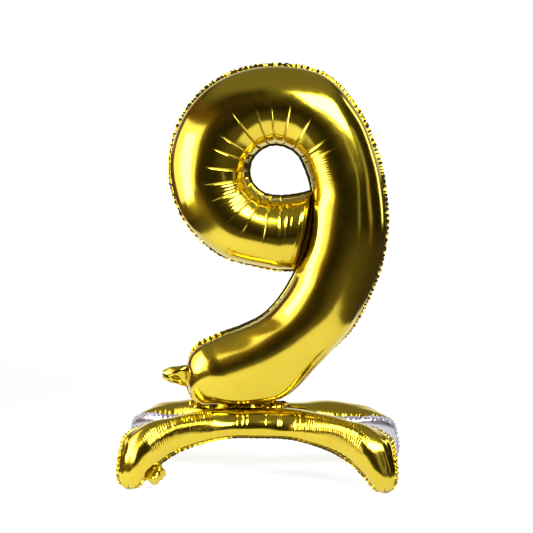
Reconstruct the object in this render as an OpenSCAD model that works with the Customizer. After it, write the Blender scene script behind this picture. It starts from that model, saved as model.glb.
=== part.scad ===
// Self-standing foil number balloon, the figure nine on an inflated four-footed base.
// Origin: the middle of the footprint on the floor. +X is to the right, +Y to the rear, +Z up.

/* [Film] */
// Thickness of each modelled film layer
film_t = 0.6; // [0.4:0.1:1]
// Width of the heat-sealed rim outside each chamber
rim_w = 6; // [4:1:8]
// Space left between two layers that are sealed together
ply_gap = 0.05; // [0.02:0.01:0.2]

/* [Number] */
// Height of the whole balloon above the floor
total_h = 740; // [740:1:752]
// Half of the thickness of the inflated number
number_bulge = 57; // [45:1:62]
// Radius of the seam round the hole of the nine
hole_r = 50; // [46:1:54]
// Radius of the outer seam round the loop of the nine
loop_r = 178; // [172:1:184]

/* [Waist] */
// Left end of the sealed waist, where the number stands on its base
waist_left = -122; // [-124:1:-112]
// Right end of the sealed waist
waist_right = 44; // [36:1:48]
// Height of the lower edge of the waist band
waist_z = 122; // [122:1:123]
// Height of the waist band
waist_h = 8; // [6:1:9]

/* [Base] */
// Bulge of each leg's gold film, as a share of its station's value
leg_bulge = 1; // [0.8:0.05:1.1]
// Bulge of each leg's inner silver film, as a share of the gold one
leaf_share = 0.5; // [0.4:0.02:0.54]
// Length of the sealed crown strip between the two legs
crown_l = 200; // [160:2:210]
// Height of the lower edge of the crown strip
crown_z = 113; // [112:0.5:114]
// Height of the crown strip
crown_h = 8.4; // [6:0.2:8.6]

/* [Filling tails] */
// Width of a filling tail at its root
tail_w = 34; // [24:1:36]
// Length of the number's filling tail
number_tail_l = 41.5; // [30:0.5:50]
// Length of the base's filling tail
base_tail_l = 23.5; // [18:0.5:25]
// Width of the self-closing valve inside each tail
valve_w = 22; // [16:1:24]
// Length of the number's valve inside the chamber
number_valve_l = 62; // [40:1:70]
// Length of the base's valve inside the chamber
base_valve_l = 34; // [24:1:38]
// Thickness of one valve ply
valve_t = 0.3; // [0.2:0.05:0.4]

/* [Fineness] */
// Rings along the number
number_rings = 68; // [48:1:72]
// Rings along a leg
leg_rings = 40; // [32:1:46]
// Facets over the number's dome
number_facets = 12; // [10:1:14]
// Facets over a leg's dome
leg_facets = 10; // [8:1:12]

/* [Hidden] */
gold = "gold";
silver = "silver";
clear_film = "lightcyan";

// The loop of the nine: an outer seam and a hole seam, each about its own centre.
loop_centre = [19, total_h - rim_w - loop_r];
hole_centre = [28, total_h - 192];
loop_step = 30;
hole_low = 0.9;

// Stations of the number chamber, from the closed end of the loop, round the hole and down the
// stem to the filling tail. Each row is [ax, az, bx, bz, bulge share, rim a, rim b]: a is on
// the inner seam, b on the outer one.
low_rim = 1.5;
loop_end = [
    [83, 511, 53, 379, 0.96, rim_w, rim_w],
    [60, 505, 38, 377, 0.97, rim_w, rim_w]
];
loop_turn = [for (a = [270 : -loop_step : 90]) [
    hole_centre[0] + hole_r * cos(a), hole_centre[1] + hole_r * sin(a) * (sin(a) < 0 ? hole_low : 1),
    loop_centre[0] + loop_r * cos(a), loop_centre[1] + loop_r * sin(a),
    1, rim_w, rim_w
]];
stem = [
    [ 53, 591,  113, 717, 1.00, rim_w, rim_w],
    [ 70, 576,  173, 651, 1.01, rim_w, rim_w],
    [ 84, 546,  206, 572, 1.03, rim_w, rim_w],
    [ 92, 513,  217, 516, 1.04, rim_w, rim_w],
    [ 90, 470,  221, 458, 1.05, rim_w, rim_w],
    [ 83, 424,  216, 410, 1.05, rim_w, rim_w],
    [ 65, 376,  205, 366, 1.05, rim_w, rim_w],
    [ 40, 331,  184, 314, 1.05, rim_w, rim_w],
    [  9, 296,  156, 266, 1.05, rim_w, rim_w],
    [-30, 274,  101, 205, 1.03, rim_w, rim_w],
    [-62, 261,   48, 152, 0.99, rim_w, rim_w],
    [-88, 249,  -14, 136, 0.92, rim_w, low_rim],
    [-107, 240, -70, 135, 0.84, rim_w, low_rim],
    [-123, 224, -115, 135, 0.62, rim_w, low_rim],
    [-131, 196, -132, 165, 0.045, rim_w, rim_w]
];
number_stations = concat(loop_end, loop_turn, stem);

// Stations of a leg, from its middle to its foot. Each row is
// [ax, ay, az, bx, by, bz, bulge, rim a, rim b]: a is on the upper seam, b on the lower one.
// Written for the front leg, where Y is negative.
leg_half = [
    [  0,  -3.5, 119,    0, -57,  86, 27, 1.2, rim_w],
    [ 55,  -4.5, 119,   52, -59,  85, 27, 1.2, rim_w],
    [105, -20,   110,   98, -74,  78, 36, 3.0, rim_w],
    [152, -36,   102,  138, -86,  65, 43, rim_w, rim_w],
    [198, -50,   101,  168, -95,  47, 44, rim_w, rim_w],
    [231, -74,    88,  187, -98,  29, 36, rim_w, rim_w],
    [240, -92,    62,  199, -103, 15, 28, rim_w, rim_w],
    [243, -103,   32,  206, -107,  8, 19, 5, 5],
    [234, -108,    0,  212, -107,  0,  9, 4, 4]
];
leg_stations = concat(
    [for (i = [len(leg_half) - 1 : -1 : 1]) mirror_row(leg_half[i])],
    leg_half
);
function mirror_row(r) = [-r[0], r[1], r[2], -r[3], r[4], r[5], r[6], r[7], r[8]];

// The filling tails: root point, direction out of the chamber, direction across the root.
number_tail_root = [-131.3, 0, 181];
number_tail_out = unit([-31, 0, 1]);
number_tail_across = unit([1, 0, 31]);
base_tail_across = unit([-19, -8, -17]);
base_tail_out = unit(cross([0, -1, 0], base_tail_across));
base_tail_root = [-181, -97, 36] + base_tail_out * (rim_w + 1);
base_valve_root = base_tail_root - base_tail_out * (rim_w + 2);
tail_gap = 1.7;

function unit(v) = v / norm(v);
function flip_y(p) = [p[0], -p[1], p[2]];

// Catmull-Rom curve through rows of numbers, at count + 1 places. The places are closer
// together near both ends when crowd is above 0.
function spline(rows, count, crowd = 0) = [
    for (i = [0 : count])
        let (x = i / count,
             s = (x - crowd * sin(360 * x) / 360 * 57.3) * (len(rows) - 1),
             k = min(floor(s), len(rows) - 2))
        hermite(rows[max(k - 1, 0)], rows[k], rows[k + 1], rows[min(k + 2, len(rows) - 1)], s - k)
];
function hermite(p0, p1, p2, p3, t) =
    0.5 * (2 * p1 + (p2 - p0) * t + (2 * p0 - 5 * p1 + 4 * p2 - p3) * t * t
           + (3 * p1 - p0 - 3 * p2 + p3) * t * t * t);

// One closed cross-section of a film: a dome from seam point a to seam point b that bulges
// along out, with a flat sealed rim outside each seam. hollow 0 closes the dome's inside.
function film_ring(a, b, out, bulge, rim_a, rim_b, facets, hollow = 1) =
    let (c = (a + b) / 2,
         w = norm(a - b) / 2,
         u = (a - b) / (2 * w),
         lift = ply_gap * out,
         inside = max(bulge * hollow, 0.15))
    concat(
        [c + u * (w + rim_a) + out * film_t + lift],
        [for (i = [0 : facets]) let (q = 180 * i / facets)
            c + u * (w + film_t) * cos(q) + out * (film_t + bulge * sin(q)) + lift],
        [c - u * (w + rim_b) + out * film_t + lift, c - u * (w + rim_b) + lift],
        [for (i = [facets : -1 : 0]) let (q = 180 * i / facets)
            c + u * w * cos(q) + out * inside * sin(q) + lift],
        [c + u * (w + rim_a) + lift]
    );

// Joins closed rings of points into one solid. The first half of each ring is the outside of
// the film and the second half comes back along its inside. flip turns the faces inside out
// for rings that run the other way round.
module skin(rings, flip = false) {
    n = len(rings);
    m = len(rings[0]);
    sides = [
        for (i = [0 : n - 2], j = [0 : m - 1])
            let (p = i * m + j, q = i * m + (j + 1) % m)
            each j < m / 2 ? [[p, q, q + m], [p, q + m, p + m]] : [[p, q, p + m], [q, q + m, p + m]]
    ];
    end = (n - 1) * m;
    caps = [
        for (k = [0 : m / 2 - 2])
            each [[m - 2 - k, k + 1, k], [m - 1 - k, m - 2 - k, k],
                  [end + k, end + k + 1, end + m - 2 - k], [end + k, end + m - 2 - k, end + m - 1 - k]]
    ];
    faces = concat(sides, caps);
    polyhedron(
        points = [for (r = rings) each r],
        faces = flip ? [for (f = faces) [for (k = [len(f) - 1 : -1 : 0]) f[k]]] : faces
    );
}

// The share of the full bulge at place i of count, rounded off over the loop's closed end.
function end_round(i, count) =
    let (d = min(1, i / count / 0.06)) max(0.02, sqrt(1 - (1 - d) * (1 - d)));

// The hollow share near the loop's closed end, where the film turns square to the path.
function end_hollow(i) = min(1, sqrt(i / 4));

// side is -1 for the front film and 1 for the rear film.
module number_film(side) {
    rows = spline(number_stations, number_rings, 0.3);
    rings = [
        for (i = [0 : number_rings])
            let (r = rows[i],
                 bulge = max(number_bulge * r[4] * end_round(i, number_rings), 1.2))
            film_ring([r[0], 0, r[1]], [r[2], 0, r[3]], [0, side, 0], bulge, r[5], r[6],
                      number_facets, end_hollow(i))
    ];
    color(gold) skin(rings, side > 0);
}

// Rings of one of the front leg's two films. outward is 1 for the gold film and -1 for the
// silver leaf. The foot rings are level, so each foot stands on a flat sole.
function leg_film_rings(outward) =
    let (rows = spline(leg_stations, leg_rings, 0.35),
         mids = [for (r = rows) [r[0] + r[3], r[1] + r[4], r[2] + r[5]] / 2],
         share = outward > 0 ? leg_bulge : leg_bulge * leaf_share)
    [for (i = [0 : leg_rings])
        let (r = rows[i],
             along = i == 0 ? [0, 0, 1] : i == leg_rings ? [0, 0, -1] : mids[i + 1] - mids[i - 1],
             a = [r[0], r[1], r[2]],
             b = [r[3], r[4], r[5]],
             level = i == 0 || i == leg_rings,
             a2 = level ? [a[0], (a[1] + b[1]) / 2, 0] : a,
             b2 = level ? [b[0], (a[1] + b[1]) / 2, 0] : b,
             out = outward * unit(cross(along, a2 - b2)))
        film_ring(a2, b2, out, r[6] * share, r[7], r[8], leg_facets, level ? 0 : 1)];

// side is -1 for the front leg and 1 for the rear leg.
module leg_film(side, outward, paint) {
    rings = leg_film_rings(outward);
    placed = side < 0 ? rings : [for (r = rings) [for (p = r) flip_y(p)]];
    color(paint) skin(placed, side * outward < 0);
}

module gusset_crown_strip() {
    color(silver)
        translate([-crown_l / 2, -film_t / 2, crown_z])
            cube([crown_l, film_t, crown_h]);
}

module waist_band(side) {
    color(gold)
        translate([waist_left, side < 0 ? -film_t - ply_gap : ply_gap, waist_z])
            cube([waist_right - waist_left, film_t, waist_h]);
}

// A tail ply: a shallow dome over the tail's outline, which narrows to a rounded mouth.
module tail_ply(root, out, across, length, side, puff, mouth, paint) {
    normal = cross(out, across) * side;
    steps = 10;
    rings = [
        for (i = [0 : steps])
            let (x = i / steps,
                 w = (tail_w / 2) * (1 - (1 - mouth) * pow(x, 3)) - 1.5,
                 p = root + out * (tail_gap + length * x),
                 bulge = puff * (0.12 + 0.88 * sin(5 + 170 * x)))
            film_ring(p + across * w, p - across * w, normal, bulge, 2.2, 2.2, 8)
    ];
    color(paint) skin(rings, side > 0);
}

module valve_ply(root, out, across, length, side) {
    normal = cross(across, out) * side;
    corner = [for (s = [-1, 1], x = [0, 1]) root - out * (2 + length * x) + across * s * valve_w / 2];
    low = normal * 0.1;
    high = normal * (0.1 + valve_t);
    rings = [for (x = [0, 1]) [
        corner[x] + low, corner[x] + high, corner[2 + x] + high, corner[2 + x] + low
    ]];
    color(clear_film) skin(rings, side > 0);
}

module number_tail_ply(side, paint) {
    tail_ply(number_tail_root, number_tail_out, number_tail_across, number_tail_l, side, 7, 0.55, paint);
}

module base_tail_ply(side, paint) {
    tail_ply(base_tail_root, base_tail_out, base_tail_across, base_tail_l, side, 6, 0.6, paint);
}

number_film(-1);  // number_front_film
number_film(1);  // number_rear_film
valve_ply(number_tail_root + [5, 0, 0], [-1, 0, 0], [0, 0, 1], number_valve_l, -1);  // number_valve_front_ply
valve_ply(number_tail_root + [5, 0, 0], [-1, 0, 0], [0, 0, 1], number_valve_l, 1);  // number_valve_rear_ply
number_tail_ply(-1, gold);  // number_tail_front_ply
number_tail_ply(1, gold);  // number_tail_rear_ply
waist_band(-1);  // waist_front_band
waist_band(1);  // waist_rear_band
leg_film(-1, 1, gold);  // base_front_film
leg_film(1, 1, gold);  // base_rear_film
leg_film(-1, -1, silver);  // gusset_front_leaf
leg_film(1, -1, silver);  // gusset_rear_leaf
gusset_crown_strip();
valve_ply(base_valve_root, base_tail_out, base_tail_across, base_valve_l, -1);  // base_valve_outer_ply
valve_ply(base_valve_root, base_tail_out, base_tail_across, base_valve_l, 1);  // base_valve_inner_ply
base_tail_ply(-1, gold);  // base_tail_outer_ply
base_tail_ply(1, silver);  // base_tail_inner_ply
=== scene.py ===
"""Looks of a self-standing foil number balloon, the figure nine on an inflated base."""
import math

import bpy
import numpy as np
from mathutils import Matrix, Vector


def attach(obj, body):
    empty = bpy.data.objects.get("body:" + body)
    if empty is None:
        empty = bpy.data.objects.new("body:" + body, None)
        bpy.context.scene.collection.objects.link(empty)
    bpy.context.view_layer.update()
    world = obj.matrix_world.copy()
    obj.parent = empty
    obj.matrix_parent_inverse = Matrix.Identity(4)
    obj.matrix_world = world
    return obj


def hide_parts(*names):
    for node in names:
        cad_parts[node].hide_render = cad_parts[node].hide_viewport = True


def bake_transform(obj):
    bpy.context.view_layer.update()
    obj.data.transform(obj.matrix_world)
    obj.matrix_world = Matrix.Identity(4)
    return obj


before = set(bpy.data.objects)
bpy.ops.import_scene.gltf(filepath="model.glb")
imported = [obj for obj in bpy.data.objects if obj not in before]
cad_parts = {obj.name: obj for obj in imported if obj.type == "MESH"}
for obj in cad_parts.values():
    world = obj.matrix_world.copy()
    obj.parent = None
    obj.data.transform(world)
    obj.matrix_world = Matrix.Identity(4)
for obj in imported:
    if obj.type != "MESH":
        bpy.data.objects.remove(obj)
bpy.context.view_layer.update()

MM = 0.001
rng = np.random.default_rng(9)

# ---------------------------------------------------------------- driving sizes, in millimetres
RIM = 5.6             # sealed rim outside a chamber
PLY = 0.12            # half of the distance between two sealed plies
BULGE = 57.0          # half thickness of the inflated number
HOLE = (28.0, 548.0, 50.0)    # x, z and radius of the seam round the hole
HOLE_LOW = 0.9        # how flat the lower half of the hole is
LOOP = (19.0, 556.0, 178.0)   # x, z and radius of the seam round the loop
SCALLOP = 8.4         # usual distance between puckers on an outer seam
HOLE_PLEAT = 14.5     # usual distance between pleats on the hole seam
HOLE_REACH = (100, 118)       # how far the long pleats reach from the hole seam
HOLE_DEPTH = (1.7, 2.3)       # depth of the long pleats at the hole
STEM_DEPTH = (0.3, 0.9)       # depth of the short pleats along the stem's inner seam
HOLE_HALF = 2.7       # half width of a long pleat where it starts
FINE_PLEAT = 4.3      # distance between the fine pleats on a leg
FINE_FROM = 84        # nearer to a leg's middle than this, about one fine pleat in four is kept
FINE_RUN = 226        # half length of the stretch where fine pleats are laid out
FINE_END = (190, 30)  # where the fine pleats start to fade, and over what length
PUCKER_HALF = 6.5     # half width of a pucker on a leg's seam
SOLE = 0.15           # lowest height of a leg's film
NUMBER_GRID = (1300, 72)      # vertices along and round a film of the number
LEG_GRID = (1700, 52)         # vertices along and round a film of a leg
END_ROUNDING = 14.0   # length over which the number's closed ends swell

# Stations of the number, from the loop's closed end to the filling tail:
# inner seam x, z, outer seam x, z, share of the bulge.
LOOP_END = [[90, 513, 60, 376, 0.96], [63, 506, 38, 376, 0.97]]
LOOP_TURN = [
    [HOLE[0] + HOLE[2] * math.cos(math.radians(a)),
     HOLE[1] + HOLE[2] * math.sin(math.radians(a)) * (HOLE_LOW if a > 180 else 1),
     LOOP[0] + LOOP[2] * math.cos(math.radians(a)), LOOP[1] + LOOP[2] * math.sin(math.radians(a)), 1.0]
    for a in range(270, 60, -30)
]
STEM = [
    [53, 591, 113, 717, 1.00], [70, 576, 173, 651, 1.01], [84, 546, 206, 572, 1.03],
    [92, 513, 217, 516, 1.04], [90, 470, 221, 458, 1.05], [83, 424, 216, 410, 1.05],
    [65, 376, 205, 366, 1.05], [40, 331, 184, 314, 1.05], [9, 296, 156, 266, 1.05],
    [-30, 274, 101, 205, 1.03], [-62, 261, 48, 152, 0.99], [-88, 249, -14, 136, 0.92],
    [-107, 240, -70, 135, 0.84], [-123, 224, -115, 135, 0.62], [-131, 196, -132, 165, 0.06],
]
NUMBER = np.array(LOOP_END + LOOP_TURN + STEM, float)

# Stations of half a leg, from its middle to its foot, written for the front leg:
# upper seam x, y, z, lower seam x, y, z, bulge of the gold film.
LEG_HALF = np.array([
    [0, -4, 119, 0, -57, 86, 27], [55, -4.5, 119, 52, -59, 85, 27], [105, -20, 110, 98, -74, 78, 36],
    [152, -36, 102, 138, -86, 65, 43], [198, -50, 101, 168, -95, 47, 44],
    [231, -74, 88, 187, -98, 29, 36], [240, -92, 62, 199, -103, 15, 28],
    [243, -103, 34, 206, -107, 8, 19], [239, -108, 14, 210, -107, 5, 11],
    [232, -108, 4, 216, -107, 2, 1.5], [226, -108, 0.5, 220, -107, 0.4, 0.4],
], float)
LEG = np.vstack([LEG_HALF[:0:-1] * [-1, 1, 1, -1, 1, 1, 1], LEG_HALF])


# ---------------------------------------------------------------- curves and grids
def curve(rows, s):
    """Catmull-Rom curve through rows at the places s, counted in rows."""
    last = len(rows) - 1
    k = np.clip(np.floor(s).astype(int), 0, last - 1)
    t = (s - k)[:, None]
    p0, p1 = rows[np.maximum(k - 1, 0)], rows[k]
    p2, p3 = rows[k + 1], rows[np.minimum(k + 2, last)]
    return 0.5 * (2 * p1 + (p2 - p0) * t + (2 * p0 - 5 * p1 + 4 * p2 - p3) * t ** 2
                  + (3 * p1 - p0 - 3 * p2 + p3) * t ** 3)


def lengths(points):
    steps = np.linalg.norm(np.diff(points, axis=0), axis=1)
    return np.concatenate([[0], np.cumsum(steps)])


def even_places(rows, cols_a, cols_b, count):
    """count places along rows, evenly spaced by the mean length of the two seams."""
    s = np.linspace(0, len(rows) - 1, 6000)
    fine = curve(rows, s)
    run = 0.35 * lengths(fine[:, cols_a]) + 0.65 * lengths(fine[:, cols_b])
    return np.interp(np.linspace(0, run[-1], count), run, s)


def smooth(x):
    x = np.clip(x, 0, 1)
    return x * x * (3 - 2 * x)


def girth_angles(count):
    """Angles round a film from the inner seam, 0, to the outer seam, pi, closer near both seams."""
    x = np.linspace(0, 1, count)
    return math.pi * (x - 0.085 * np.sin(4 * math.pi * x) / 2)


def unit(v):
    return v / np.maximum(np.linalg.norm(v, axis=-1, keepdims=True), 1e-9)


def grid_normals(p, towards):
    n = unit(np.cross(np.gradient(p, axis=0), np.gradient(p, axis=1)))
    return n * np.sign((n * towards).sum(-1, keepdims=True) + 1e-9)


def spaced(start, end, pitch, jitter):
    """Places from start to end at about one pitch apart."""
    out = [start]
    while out[-1] < end:
        out.append(out[-1] + pitch * (1 + jitter * rng.uniform(-1, 1)))
    return np.array(out)


def cusps(s, centres, halves, depths):
    """Sum of narrow valleys with a sharp bottom."""
    out = np.zeros_like(s)
    for c, h, d in zip(centres, halves, depths):
        lo, hi = np.searchsorted(s, [c - h, c + h])
        x = np.abs(s[lo:hi] - c) / h
        out[lo:hi] += d * (1 - x) ** 2
    return out


def waves(s, q, amps, seed):
    """Gentle dents, as a few long waves over the film."""
    r = np.random.default_rng(seed)
    out = np.zeros((len(s), len(q)))
    for length, amp in amps:
        for _ in range(3):
            a, b = r.uniform(0, 2 * math.pi, 2)
            k = r.uniform(0.7, 1.3) * 2 * math.pi / length
            m = r.uniform(0.6, 2.6)
            out += amp / 2 * np.sin(k * s[:, None] + a + m * q[None, :]) * np.cos(m * q[None, :] + b)
    return out


def grid_mesh(name, p, flip):
    """A mesh object from a grid of points in millimetres, with a UV map in metres of film."""
    nu, nv = p.shape[:2]
    index = np.arange(nu * nv).reshape(nu, nv)
    a, b, c, d = index[:-1, :-1], index[1:, :-1], index[1:, 1:], index[:-1, 1:]
    quads = np.stack([a, d, c, b] if flip else [a, b, c, d], -1).reshape(-1, 4)
    me = bpy.data.meshes.new(name)
    me.vertices.add(nu * nv)
    me.vertices.foreach_set("co", (p.reshape(-1, 3) * MM).astype(np.float32).ravel())
    me.loops.add(quads.size)
    me.loops.foreach_set("vertex_index", quads.ravel().astype(np.int32))
    me.polygons.add(len(quads))
    me.polygons.foreach_set("loop_start", np.arange(0, quads.size, 4, dtype=np.int32))
    me.polygons.foreach_set("loop_total", np.full(len(quads), 4, dtype=np.int32))
    me.polygons.foreach_set("use_smooth", np.ones(len(quads), dtype=bool))
    u = lengths(p[:, nv // 2])
    v = lengths(p[nu // 2])
    uv = np.stack(np.meshgrid(u, v, indexing="ij"), -1).reshape(-1, 2) * MM
    layer = me.uv_layers.new(name="film")
    layer.data.foreach_set("uv", uv[quads.ravel()].astype(np.float32).ravel())
    me.update()
    me.validate()
    ob = bpy.data.objects.new(name, me)
    bpy.context.collection.objects.link(ob)
    return ob


def paint(ob, mat):
    ob.data.materials.clear()
    ob.data.materials.append(mat)
    return ob


# ---------------------------------------------------------------- materials
def new_material(name):
    mat = bpy.data.materials.new(name)
    mat.use_nodes = True
    nodes, links = mat.node_tree.nodes, mat.node_tree.links
    return mat, nodes, links, nodes["Principled BSDF"]


def film_material(name, deep, bright, roughness, crinkle, metallic=1.0):
    """Metallised film: a slight drift of colour, fine crinkles and a patchy roughness."""
    mat, nodes, links, bsdf = new_material(name)
    coord = nodes.new("ShaderNodeTexCoord")
    drift = nodes.new("ShaderNodeTexNoise")
    drift.inputs["Scale"].default_value = 9
    drift.inputs["Detail"].default_value = 3
    links.new(coord.outputs["Object"], drift.inputs["Vector"])
    ramp = nodes.new("ShaderNodeValToRGB")
    ramp.color_ramp.elements[0].position = 0.3
    ramp.color_ramp.elements[1].position = 0.7
    ramp.color_ramp.elements[0].color = (*deep, 1)
    ramp.color_ramp.elements[1].color = (*bright, 1)
    links.new(drift.outputs["Fac"], ramp.inputs["Fac"])
    links.new(ramp.outputs["Color"], bsdf.inputs["Base Color"])
    bsdf.inputs["Metallic"].default_value = metallic
    bsdf.inputs["Coat Weight"].default_value = 0.35
    bsdf.inputs["Coat IOR"].default_value = 1.7
    bsdf.inputs["Coat Roughness"].default_value = 0.08
    rough = nodes.new("ShaderNodeTexNoise")
    rough.inputs["Scale"].default_value = 60
    rough.inputs["Detail"].default_value = 4
    links.new(coord.outputs["Object"], rough.inputs["Vector"])
    span = nodes.new("ShaderNodeMapRange")
    span.inputs["To Min"].default_value = roughness * 0.75
    span.inputs["To Max"].default_value = roughness * 1.3
    links.new(rough.outputs["Fac"], span.inputs["Value"])
    links.new(span.outputs["Result"], bsdf.inputs["Roughness"])
    fine = nodes.new("ShaderNodeTexNoise")
    fine.inputs["Scale"].default_value = 140
    fine.inputs["Detail"].default_value = 2
    links.new(coord.outputs["Object"], fine.inputs["Vector"])
    bump = nodes.new("ShaderNodeBump")
    bump.inputs["Strength"].default_value = crinkle
    bump.inputs["Distance"].default_value = 0.0006
    links.new(fine.outputs["Fac"], bump.inputs["Height"])
    links.new(bump.outputs["Normal"], bsdf.inputs["Normal"])
    return mat


gold = film_material("gold_film", (0.57, 0.43, 0.016), (0.63, 0.485, 0.026), 0.15, 0.04)
silver = film_material("silver_film", (0.46, 0.44, 0.49), (0.58, 0.56, 0.61), 0.3, 0.08)
clear = film_material("clear_valve_film", (0.80, 0.84, 0.84), (0.88, 0.92, 0.92), 0.3, 0.2, 0.0)


# ---------------------------------------------------------------- the number
def number_parts():
    count = NUMBER_GRID[0]
    s = even_places(NUMBER, [0, 1], [2, 3], count)
    rows = curve(NUMBER, s)
    zero = np.zeros(count)
    a = np.stack([rows[:, 0], zero, rows[:, 1]], -1)
    b = np.stack([rows[:, 2], zero, rows[:, 3]], -1)
    run_a, run_b = lengths(a), lengths(b)
    bulge = BULGE * rows[:, 4]
    d = np.clip(run_b / END_ROUNDING, 0, 1)
    bulge *= np.sqrt(np.maximum(1 - (1 - d) ** 2, 0.0004))
    bulge = np.maximum(bulge, 1.0)
    return s, a, b, run_a, run_b, bulge


def beads(run, at):
    """1 at the middle of each stretch between two puckers and 0 at the puckers."""
    return np.sqrt(np.abs(np.sin(math.pi * np.interp(run, at, np.arange(len(at))))))


def ruffle(run, pitch, size):
    """An irregular wave along a rim."""
    at = np.arange(run[0] - pitch, run[-1] + 2 * pitch, pitch)
    at = at + rng.uniform(-0.3, 0.3, len(at)) * pitch
    return np.interp(run, at, size * rng.uniform(-1, 1, len(at)))


def rim_strip(seam, outward, lift, puff, width, sway, puffed):
    """A sealed rim outside a seam, from its free edge to the seam. Each bead is puffed up."""
    cols = []
    for f in (1.0, 0.82, 0.6, 0.38, 0.18, 0.0):
        cols.append(seam + outward * (width * f)[:, None] + lift * sway[:, None] * f
                    + puff * (puffed * math.sin(math.pi * f) ** 0.7)[:, None])
    return np.stack(cols, 1)


def seam_ruffle(run, pitch, jitter, pull, sway, calm):
    """Puckers along a seam: their places, how far they pull in and how far the rim sways."""
    at = spaced(run[0] - pitch, run[-1] + pitch, pitch, jitter)
    half = pitch * rng.uniform(0.45, 0.62, len(at))
    size = rng.uniform(0.35, 1.0, len(at))
    inward = cusps(run, at, half, pull * size) * calm
    drift = ruffle(run, 0.8 * pitch, sway)
    return at, half, size, inward, drift * calm


def number_films():
    s, a, b, run_a, run_b, bulge = number_parts()
    count = len(s)
    across = unit(a - b)
    mid_count = NUMBER_GRID[1]
    q = girth_angles(mid_count)

    # 1 where a seam is ruffled, 0 where it is calm: at the loop's closed end and along the waist
    calm_b = smooth((run_b - 12) / 25) * (1 - smooth((s - 17.6) / 1.4) * (1 - smooth((s - 22.1) / 0.3)))
    calm_a = smooth((run_a - 6) / 20)
    at_b, half_b, size_b, in_b, sway_b = seam_ruffle(run_b, SCALLOP, 0.55, 2.0, 1.6, calm_b)
    at_a, _, _, in_a, sway_a = seam_ruffle(run_a, HOLE_PLEAT, 0.3, 1.2, 0.6, calm_a)
    hole_part = smooth((s - 0.8) / 0.8) * (1 - smooth((s - 9.6) / 1.6))
    stem_part = smooth((s - 11.5) / 1.5)

    shift_a = -across * (in_a * (0.4 + 0.6 * hole_part))[:, None]
    shift_b = across * in_b[:, None]
    a_seam, b_seam = a + shift_a, b + shift_b
    out = []
    for side in (-1, 1):
        normal = np.array([0.0, side, 0.0])
        c = ((a + b) / 2)[:, None, :]
        w = (np.linalg.norm(a - b, axis=1) / 2)[:, None, None]
        cq, sq = np.cos(q)[None, :, None], np.sin(q)[None, :, None]
        # steep: the stem's film beside the slit. boxy: the underside above the waist
        steep = smooth((s - 11.8) / 0.8) * (1 - smooth((s - 14.6) / 1.0))
        full_side = 0.94 - 0.3 * steep[:, None, None] * (1 - smooth((q - 0.5) / 1.07))[None, :, None]
        boxy = smooth((s - 15.2) / 3.0) * (1 - smooth((s - 21.4) / 1.2))
        full_side = full_side - 0.48 * boxy[:, None, None] * smooth((q - 1.57) / 1.0)[None, :, None]
        p = c + across[:, None, :] * w * cq + normal * bulge[:, None, None] * sq ** full_side
        bow = 9.0 * (1 - smooth(run_b / 55))[:, None] * np.sin(q)[None, :] ** 1.5
        p = p + bow[:, :, None] * np.array([1.0, 0.0, -0.2])
        n = grid_normals(p, normal + 0 * p)
        girth = math.pi * (np.squeeze(w, 2) + bulge[:, None]) / 2
        from_a = girth * (q / math.pi)[None, :]
        from_b = girth * (1 - q / math.pi)[None, :]

        depth = np.zeros((count, mid_count))
        # long pleats that fan out from the hole: a sharp valley that narrows to its far end
        r = np.random.default_rng(21 if side < 0 else 22)
        span = np.linalg.norm(np.gradient(p, axis=0), axis=-1)
        for c0 in at_a:
            mid = int(np.clip(np.searchsorted(run_a, c0), 0, count - 1))
            on_hole, on_stem = hole_part[mid], stem_part[mid]
            reach = r.uniform(*HOLE_REACH) * (1 - 0.78 * on_stem)
            size = r.uniform(*HOLE_DEPTH) * on_hole + r.uniform(*STEM_DEPTH) * on_stem
            lo, hi = max(0, mid - 14), min(count, mid + 15)
            gone = np.clip((from_a[mid] - 0.25 * reach) / (0.75 * reach), 0, 1)
            half = HOLE_HALF * (1 - 0.6 * gone)
            off = np.abs(np.arange(lo, hi) - mid)[:, None] * span[mid][None, :] / half[None, :]
            grow = smooth(from_a[mid] / 9) * (1 - gone ** 4)
            depth[lo:hi] -= size * grow[None, :] * (1 - gone)[None, :] ** 0.35 * np.clip(1 - off, 0, 1)
        # packs of finer pleats on both sides of the hole, and near the loop's closed end
        for start, end, pitch, size, far_end in ((3.5, 4.6, 3.4, 1.2, 88), (10.2, 11.6, 3.0, 1.0, 84),
                                                 (0.8, 2.0, 3.4, 0.7, 60)):
            lo_run, hi_run = np.interp([start, end], s, run_a)
            at = spaced(lo_run, hi_run, pitch, 0.3)
            fine = cusps(run_a, at, np.full(len(at), pitch * 0.6), size * r.uniform(0.3, 1, len(at)))
            faded = smooth((from_a - 0.6 * far_end) / (0.4 * far_end))
            depth -= fine[:, None] * smooth((from_a - 8) / 12) * (1 - faded)
        # the ring where the film turns into the hole
        ring = hole_part * (0.75 + 0.25 * np.cos(2 * math.pi * run_a / HOLE_PLEAT))
        depth -= 0.9 * ring[:, None] * np.exp(-((from_a - 38) / 2.4) ** 2)
        # short puckers along the outer seam
        for c0, h0, z0 in zip(at_b, half_b, size_b):
            half = 1.25 * h0
            lo, hi = np.searchsorted(run_b, [c0 - half, c0 + half])
            if hi <= lo:
                continue
            xx = np.abs(run_b[lo:hi] - c0) / half
            reach = r.choice([4, 7, 11, 18], p=[0.5, 0.38, 0.1, 0.02])
            strong = (0.4 + 1.0 * z0) * calm_b[lo:hi]
            fade = 1 - smooth(from_b[lo:hi] / reach)
            depth[lo:hi] -= (strong * (1 - xx) ** 2)[:, None] * fade
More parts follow.
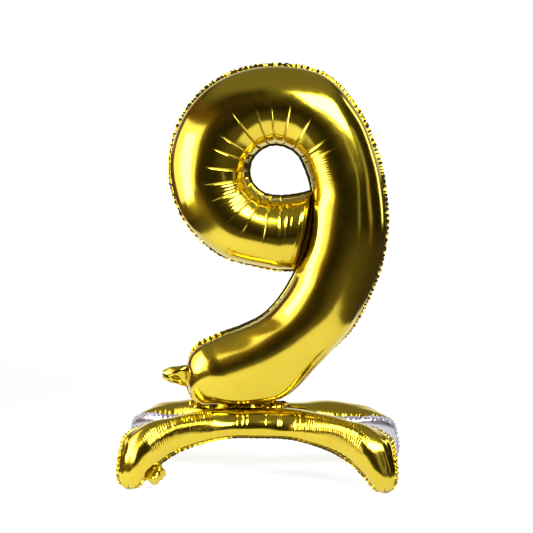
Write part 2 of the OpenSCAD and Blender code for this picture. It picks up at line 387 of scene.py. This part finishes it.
        # long folds beside the seam at the stem's lower right, and beside the loop's closed end
        low_right = smooth((s - 15.6) / 0.9) * (1 - smooth((s - 18.4) / 0.8))
        for place, drop, width in ((13, 1.6, 3.2), (23, 1.3, 4.2), (36, 0.8, 6.0)):
            depth -= drop * low_right[:, None] * np.exp(-((from_b - place) / width) ** 2)
        from_end = lengths((a + b) / 2)
        for place, drop, width in ((7, 1.3, 1.6), (13, 1.0, 2.2)):
            depth -= drop * np.exp(-((from_end - place) / width) ** 2)[:, None] * np.sin(q)[None, :]
        away = smooth(from_a / 20) * smooth(from_b / 20)
        depth += waves(run_b, q, [(260, 0.9), (120, 0.45)], 31 + side) * away
        p = p + n * depth[:, :, None]
        hold_a, hold_b = 1 - smooth(from_a / 9), 1 - smooth(from_b / 7)
        p = p + shift_a[:, None, :] * hold_a[:, :, None] + shift_b[:, None, :] * hold_b[:, :, None]

        # sealed rims, a row of small beads between the puckers
        low = smooth((s - 17.0) / 0.8) * (1 - smooth((s - 22.1) / 0.3))
        bead_a, bead_b = beads(run_a, at_a), beads(run_b, at_b)
        left_end = smooth((s - 18.6) / 0.8)
        big = np.interp(run_b, at_b, r.uniform(0.1, 1.0, len(at_b)))
        edge_a = RIM * (0.85 + 0.15 * bead_a * left_end)
        edge_b = RIM * (0.55 + 0.45 * bead_b * (0.5 + 0.5 * big)) * (1 - 0.8 * low)
        tilt = np.array([0.0, 1.0, 0.0])
        over = normal * PLY
        ra = rim_strip(a_seam + over, across, tilt, normal, edge_a, sway_a * (0.25 + left_end),
                       (0.15 + 1.6 * left_end) * bead_a)
        rb = rim_strip(b_seam + over, -across, tilt, normal, edge_b, sway_b,
                       1.4 * big * bead_b * calm_b)[:, ::-1]
        full = np.concatenate([ra[:, :-1], p + over, rb[:, 1:]], 1)
        full[:, ra.shape[1] - 1] = ra[:, -1]
        full[:, -rb.shape[1]] = rb[:, 0]
        out.append(full)
    return out


front, rear = number_films()
number_front = paint(grid_mesh("number_front_skin", front, flip=False), gold)
number_rear = paint(grid_mesh("number_rear_skin", rear, flip=True), gold)
for ob, node in ((number_front, "number_front_film"), (number_rear, "number_rear_film")):
    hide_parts(node)
    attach(ob, "number")


# ---------------------------------------------------------------- the legs of the base
def seam_puckers(depth, r, run, at, from_seam, reaches, sizes, strength):
    """Dent a leg's film with a short valley at each place of its seam."""
    for c0 in at:
        lo, hi = np.searchsorted(run, [c0 - PUCKER_HALF, c0 + PUCKER_HALF])
        if hi > lo:
            xx = np.abs(run[lo:hi] - c0) / PUCKER_HALF
            reach = r.choice(reaches)
            valley = r.uniform(*sizes) * strength[lo:hi] * (1 - xx) ** 2
            depth[lo:hi] -= valley[:, None] * (1 - smooth(from_seam[lo:hi] / reach))


def leg_film(side, outward):
    """One film of a leg. side is -1 for the front leg; outward is 1 for gold, -1 for silver."""
    r = np.random.default_rng(50 + side + 5 * outward)
    count, mid_count = LEG_GRID
    s = even_places(LEG, [0, 1, 2], [3, 4, 5], count)
    rows = curve(LEG, s)
    a, b = rows[:, :3].copy(), rows[:, 3:6].copy()
    run_a, run_b = lengths(a), lengths(b)
    centre = (a + b) / 2
    along = unit(np.gradient(centre, axis=0))
    across = unit(a - b)
    out = unit(np.cross(along, across)) * outward
    bulge = rows[:, 6] * (1.0 if outward > 0 else 0.5)
    mid = (len(LEG) - 1) / 2
    off = np.abs(s - mid)
    foot = smooth((off - 5.6) / 1.6)

    rr = np.random.default_rng(70 + side)
    at_a = np.arange(-10, run_a[-1] + 10, 9.0)
    at_a = at_a + rr.uniform(-2.2, 2.2, len(at_a))
    at_b = np.arange(-10, run_b[-1] + 10, 9.5)
    at_b = at_b + rr.uniform(-2.2, 2.2, len(at_b))
    shoulder = smooth((off - 2.0) / 1.5)
    pull_a = cusps(run_a, at_a, np.full(len(at_a), 4.8), rr.uniform(0.5, 1.9, len(at_a))) * shoulder
    near_foot = smooth((off - 4.2) / 1.5)
    pull_b = cusps(run_b, at_b, np.full(len(at_b), 5.0), rr.uniform(0.3, 1.3, len(at_b)))
    pull_b = pull_b * (0.1 + 0.9 * near_foot)
    sway_a = np.interp(run_a, at_a, rr.uniform(-2.2, 2.2, len(at_a))) * (0.3 + 0.7 * shoulder)
    sway_b = np.interp(run_b, at_b, rr.uniform(-1.6, 1.6, len(at_b)))
    shift_a, shift_b = -across * pull_a[:, None], across * pull_b[:, None]

    q = girth_angles(mid_count)
    w = (np.linalg.norm(a - b, axis=1) / 2)[:, None, None]
    cq, sq = np.cos(q)[None, :, None], np.sin(q)[None, :, None]
    p = ((a + b) / 2)[:, None, :] + across[:, None, :] * w * cq \
        + out[:, None, :] * bulge[:, None, None] * sq ** 0.94
    n = grid_normals(p, out[:, None, :] + 0 * p)
    girth = math.pi * (np.squeeze(w, 2) + bulge[:, None]) / 2
    from_a = girth * (q / math.pi)[None, :]
    from_b = girth * (1 - q / math.pi)[None, :]
    depth = np.zeros((count, mid_count))
    if outward > 0:
        # fine pleats that run across the arch of the leg
        mid_run = lengths((a + b) / 2)
        mid_run -= mid_run[-1] / 2
        flank = smooth(np.abs(mid_run) / 130)
        at = np.arange(-FINE_RUN, FINE_RUN, FINE_PLEAT)
        at = at + rr.uniform(-0.4, 0.4, len(at))
        strength = rr.uniform(0.45, 1.0, len(at))
        strength = strength * np.where(np.abs(at) > FINE_FROM, 1, rr.uniform(0, 1, len(at)) > 0.74)
        phase = np.interp(mid_run, at, np.arange(len(at))) % 1
        near = np.clip(np.round(np.interp(mid_run, at, np.arange(len(at)))).astype(int), 0, len(at) - 1)
        valley = 1 - 2 * np.minimum(phase, 1 - phase)
        faded = smooth((np.abs(mid_run) - FINE_END[0]) / FINE_END[1])
        fine = (1.2 + 0.2 * flank) * strength[near] * valley * (1 - faded)
        upper = 0.85 + 0.4 * flank
        lower = 2.05 + 0.3 * flank
        below = smooth((q[None, :] - lower[:, None]) / 0.5)
        band = smooth((q[None, :] - upper[:, None]) / 0.25) * (1 - below)
        depth -= fine[:, None] * band
        # long folds from the shoulders down to the feet
        for angle, drop, width in ((0.62, 1.5, 0.2), (1.35, 1.1, 0.24)):
            fold = np.exp(-((q - angle) / width) ** 2)
            depth -= drop * (smooth((off - 2.6) / 1.4) * (1 - 0.5 * foot))[:, None] * fold[None, :]
    seam_puckers(depth, r, run_a, at_a, from_a, [7, 10, 16], (0.5, 1.6), shoulder)
    seam_puckers(depth, r, run_b, at_b, from_b, [6, 9, 15], (0.4, 1.5), 0.1 + 0.9 * shoulder)
    # flutes where the foot is gathered to its tip
    flute = 1 - 2 * np.abs(np.sin(5.5 * q + r.uniform(0, 1))) ** 0.7
    tip = smooth((off - 7.2) / 1.2) * (1 - smooth((off - 9.2) / 0.8))
    depth -= 1.9 * tip[:, None] * flute[None, :] * np.sin(q)[None, :]
    dents = waves(run_a, q, [(150, 0.7), (70, 0.35)], 80 + side)
    depth += dents * smooth(from_a / 14) * smooth(from_b / 14)
    p = p + n * depth[:, :, None]
    hold_a, hold_b = 1 - smooth(from_a / 8), 1 - smooth(from_b / 6)
    p = p + shift_a[:, None, :] * hold_a[:, :, None] + shift_b[:, None, :] * hold_b[:, :, None]

    toe = 1 - 0.75 * smooth((off - 8.2) / 1.2)
    tuck = (1.2 + (RIM - 1.2) * smooth((off - 1.4) / 1.4)) * toe
    bead_a, bead_b = beads(run_a, at_a), beads(run_b, at_b)
    ruffled = 0.15 + 0.85 * near_foot
    over = out * PLY
    ra = rim_strip(a + shift_a + over, across, out * outward, out, tuck * (0.6 + 0.4 * bead_a), sway_a,
                   1.4 * bead_a * shoulder * toe)
    rb = rim_strip(b + shift_b + over, -across, out * outward, out,
                   (RIM - 1.0) * toe * (0.6 + 0.4 * bead_b), sway_b * ruffled,
                   1.4 * bead_b * ruffled * toe)[:, ::-1]
    full = np.concatenate([ra[:, :-1], p + out[:, None, :] * PLY, rb[:, 1:]], 1)
    full[:, ra.shape[1] - 1] = ra[:, -1]
    full[:, -rb.shape[1]] = rb[:, 0]
    full[:, :, 2] = np.maximum(full[:, :, 2], SOLE)
    if side > 0:
        full = full * [1, -1, 1]
    return full


for side, place in ((-1, "front"), (1, "rear")):
    for outward, kind, node, mat in (
        (1, "gold", f"base_{place}_film", gold),
        (-1, "silver", f"gusset_{place}_leaf", silver),
    ):
        p = leg_film(side, outward)
        ob = paint(grid_mesh(f"{place}_leg_{kind}_skin", p, flip=side * outward > 0), mat)
        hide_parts(node)
        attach(ob, f"{place}_leg")


# ---------------------------------------------------------------- the waist
WAIST = (-126.0, 47.0)                     # left and right end of the welded waist
WAIST_TUCKS = (-112.0, -57.0, 2.0, 40.0)   # where the film is pinched between number and base


def waist_skin(side):
    """The crinkled film round the weld. It stands forward at each tuck and is hollow between them."""
    r = np.random.default_rng(90 + side)
    x = np.linspace(*WAIST, 360)
    v = np.linspace(0, 1, 30)
    place = np.interp(x, WAIST_TUCKS, np.arange(len(WAIST_TUCKS)))
    web = np.abs(2 * (place % 1) - 1) ** 2.6
    web[(x < WAIST_TUCKS[0]) | (x > WAIST_TUCKS[-1])] = 1.0
    web = np.maximum(web, smooth((x - 12) / 14) * 0.55)
    ends = smooth((x - WAIST[0]) / 10) * smooth((WAIST[1] - x) / 8)
    lens = 1 - web
    top = np.stack([5 + 9 * web * ends, 136.6 + 1.2 * lens], -1)
    low = np.stack([7 + 16 * web * ends, 129.0 - 7.0 * lens], -1)
    middle = np.stack([6 + 20 * web * ends, 132.8 - 3.0 * lens + 0.6 * np.sin(x / 9.0)], -1)
    t = v[None, :, None]
    yz = (1 - t) ** 2 * top[:, None] + 2 * t * (1 - t) * middle[:, None] + t ** 2 * low[:, None]
    crinkle = sum(amp * np.sin(2 * math.pi * x[:, None] / length + r.uniform(0, 6) + 3 * v[None, :])
                  for length, amp in ((13.0, 0.7), (7.3, 0.5), (4.1, 0.3)))
    depth = yz[:, :, 0] + crinkle * np.sin(math.pi * v)[None, :] * (0.08 + 0.92 * web[:, None])
    return np.stack([np.broadcast_to(x[:, None], depth.shape), side * depth, yz[:, :, 1]], -1)


for side, place in ((-1, "front"), (1, "rear")):
    ob = paint(grid_mesh(f"waist_{place}_skin", waist_skin(side), flip=side < 0), gold)
    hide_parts(f"waist_{place}_band")
    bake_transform(ob)


# ---------------------------------------------------------------- the filling tails
def tail_ply(root, out, across, length, width, mouth, puff, twist, side, seed):
    """Half of a crumpled tail that runs out from root and is gathered to its mouth."""
    r = np.random.default_rng(seed)
    normal = np.cross(out, across)
    x = np.linspace(0, 1, 90)[:, None, None]
    phi = np.linspace(0, math.pi, 44)[None, :, None]
    half = width / 2 * (1 - (1 - mouth) * x ** 2.2) * (1 + 0.05 * np.sin(9 * x + 1))
    thick = puff * (0.12 + 0.88 * np.sin(math.pi * (0.03 + 0.9 * x)))
    ripple = sum(amp * np.sin(k * phi + r.uniform(0, 6) + m * x)
                 for k, m, amp in ((2, 3, 0.24), (3, -5, 0.16), (6, 6, 0.05)))
    turn = twist * x ** 1.5
    c, d = half * np.cos(phi), side * thick * (np.sin(phi) + ripple * np.sin(phi) ** 0.5)
    bend = 2.5 * np.sin(3.4 * x) * np.sign(twist + 1e-6)
    return (root + out * (length * x + 0.9 * np.cos(7 * phi) * x ** 4)
            + across * (c * np.cos(turn) - d * np.sin(turn))
            + normal * (c * np.sin(turn) + d * np.cos(turn) + bend))


LEG_OUT = unit(np.cross(unit(np.array([19.0, 8, 17])), [0, -1.0, 0]))
TAILS = {
    # root, direction out, direction across, length, width, mouth's share of the width, puff, twist,
    # plies, materials
    "number_tail": (np.array([-131.0, 0, 182]), np.array([-0.998, 0, 0.06]), np.array([0.06, 0, 0.998]),
                    43, 37, 0.36, 8.5, 0.45, ("front_ply", "rear_ply"), (gold, gold)),
    "base_tail": (np.array([-187.0, -98, 36]) + LEG_OUT * 3.5, LEG_OUT, -unit(np.array([19.0, 8, 17])),
                  25, 38, 0.68, 9.5, -0.1, ("outer_ply", "inner_ply"), (gold, silver)),
}
for seed, (body, spec) in enumerate(TAILS.items()):
    for side, ply, mat in zip((-1, 1), spec[8], spec[9]):
        p = tail_ply(*spec[:8], side, 120 + seed)
        ob = paint(grid_mesh(f"{body}_{ply}_skin", p, flip=side > 0), mat)
        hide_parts(f"{body}_{ply}")
        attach(ob, body)

# CAD pieces that are shown as they are: the valves inside the chambers and the crown strip
for node, mat in (("gusset_crown_strip", silver), ("number_valve_front_ply", clear),
                  ("number_valve_rear_ply", clear), ("base_valve_outer_ply", clear),
                  ("base_valve_inner_ply", clear)):
    paint(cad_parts[node], mat)

# ---------------------------------------------------------------- the floor, light and camera
GLOW_Y = (-0.3, 3.0)  # where a sheet's glow starts and stops changing


def plane(name, outline, z, colour, near_glow, far_glow):
    """A flat sheet that glows a little, more and more with its distance."""
    me = bpy.data.meshes.new(name)
    me.from_pydata([(x, y, z) for x, y in outline], [], [tuple(range(len(outline)))])
    ob = bpy.data.objects.new(name, me)
    bpy.context.collection.objects.link(ob)
    mat, nodes, links, shader = new_material(name)
    coord = nodes.new("ShaderNodeTexCoord")
    split = nodes.new("ShaderNodeSeparateXYZ")
    glow = nodes.new("ShaderNodeMapRange")
    links.new(coord.outputs["Object"], split.inputs["Vector"])
    links.new(split.outputs["Y"], glow.inputs["Value"])
    for key, value in (("From Min", GLOW_Y[0]), ("From Max", GLOW_Y[1]),
                       ("To Min", near_glow), ("To Max", far_glow)):
        glow.inputs[key].default_value = value
    links.new(glow.outputs["Result"], shader.inputs["Emission Strength"])
    shader.inputs["Base Color"].default_value = (*colour, 1)
    shader.inputs["Roughness"].default_value = 0.8
    shader.inputs["Specular IOR Level"].default_value = 0.1
    shader.inputs["Emission Color"].default_value = (1, 1, 1, 1)
    paint(ob, mat)


def softbox(name, centre, size, radiance, look_at, tint):
    """A soft rectangular lamp that looks as bright as radiance says."""
    light = bpy.data.lights.new(name, "AREA")
    light.shape = "RECTANGLE"
    light.size, light.size_y = size
    light.energy = radiance * math.pi * size[0] * size[1]
    light.color = tint
    ob = bpy.data.objects.new(name, light)
    ob.location = centre
    ob.rotation_euler = (Vector(look_at) - Vector(centre)).to_track_quat("-Z", "Y").to_euler()
    bpy.context.collection.objects.link(ob)


FLOOR_Z = -0.0005
DARK_FLOOR = ((-40, -20), (40, -20), (40, 90), (-40, 90))
WHITE_SWEEP = ((-0.50, -0.85), (0.52, -0.85), (0.54, 1.0), (8, 90), (-24, 90), (-0.54, 0.2))
plane("dark_floor", DARK_FLOOR, FLOOR_Z - 0.001, (0.05, 0.04, 0.03), 0.0, 0.0)
plane("white_sweep", WHITE_SWEEP, FLOOR_Z, (0.35, 0.35, 0.35), 0.71, 0.97)

MIDDLE = (0.0, 0.0, 0.4)
WHITE, BROWN = (1.0, 1.0, 1.0), (1.0, 0.42, 0.12)
LAMPS = (
    # name, centre, size, radiance, point that it faces, tint
    ("key", (1.12, -1.65, 1.70), (1.8, 0.88), 17.0, MIDDLE, WHITE),
    ("window", (-0.72, -0.40, 0.565), (1.25, 0.69), 1.9, (0.0, -0.4, 0.565), WHITE),
    ("window_core", (-0.70, -0.40, 0.49), (0.50, 0.56), 10.0, (0.0, -0.4, 0.49), WHITE),
    ("window_wall", (-0.76, -0.35, 0.60), (2.3, 1.2), 0.12, (0.0, -0.35, 0.60), BROWN),
    ("right_wall", (1.3, -0.5, 0.42), (0.2, 0.6), 0.22, (0.0, -0.3, 0.42), BROWN),
    ("front_strip", (1.5, -2.2, 0.7), (0.3, 1.5), 0.35, MIDDLE, WHITE),
    ("right_strip", (2.5, -1.0, 0.9), (0.5, 1.6), 0.4, MIDDLE, WHITE),
    ("edge_strip", (1.7, 0.9, 0.95), (0.35, 1.5), 3.0, MIDDLE, WHITE),
)
for lamp in LAMPS:
    softbox(*lamp)

ROOM_DARK, ROOM_GREY, ROOM_WHITE = (0.030, 0.019, 0.012, 1), (0.27, 0.25, 0.20, 1), (1, 1, 1, 1)


def studio_world():
    """A room that is white behind the object, dark behind the viewer and grey overhead."""
    world = bpy.data.worlds.new("studio")
    bpy.context.scene.world = world
    world.use_nodes = True
    nodes, links = world.node_tree.nodes, world.node_tree.links
    coord = nodes.new("ShaderNodeTexCoord")
    split = nodes.new("ShaderNodeSeparateXYZ")
    links.new(coord.outputs["Generated"], split.inputs["Vector"])

    def ramp(axis, low, high, start, end):
        node = nodes.new("ShaderNodeMapRange")
        node.interpolation_type = "SMOOTHSTEP"
        for key, value in (("From Min", low), ("From Max", high), ("To Min", start), ("To Max", end)):
            node.inputs[key].default_value = value
        links.new(split.outputs[axis], node.inputs["Value"])
        return node.outputs["Result"]

    wall = ramp("Y", 0.58, 0.92, 0.0, 1.0)
    up = ramp("Z", 0.5, 0.8, 0.0, 1.0)
    mixes = []
    for factor, then in ((wall, ROOM_WHITE), (up, ROOM_GREY)):
        mix = nodes.new("ShaderNodeMix")
        mix.data_type = "RGBA"
        links.new(factor, mix.inputs[0])
        mix.inputs[7].default_value = then
        mixes.append(mix)
    mixes[0].inputs[6].default_value = ROOM_DARK
    links.new(mixes[0].outputs[2], mixes[1].inputs[6])
    links.new(mixes[1].outputs[2], nodes["Background"].inputs["Color"])
    nodes["Background"].inputs["Strength"].default_value = 1.0


studio_world()

# The camera's azimuth, elevation, distance from its target in metres, and lens in millimetres
AZ, EL, DIST, LENS = math.radians(3.6), math.radians(8.5), 4.2, 161
target = Vector((0.0106, 0.0, 0.380))
cam = bpy.data.cameras.new("camera")
cam.lens = LENS
cam.sensor_width = 36
cam.clip_end = 60
cam_ob = bpy.data.objects.new("camera", cam)
back = Vector((math.sin(AZ) * math.cos(EL), -math.cos(AZ) * math.cos(EL), math.sin(EL)))
cam_ob.location = target + back * DIST
cam_ob.rotation_euler = (-back).to_track_quat("-Z", "Y").to_euler()
bpy.context.collection.objects.link(cam_ob)
bpy.context.scene.camera = cam_ob
bpy.context.scene.view_settings.view_transform = "Standard"
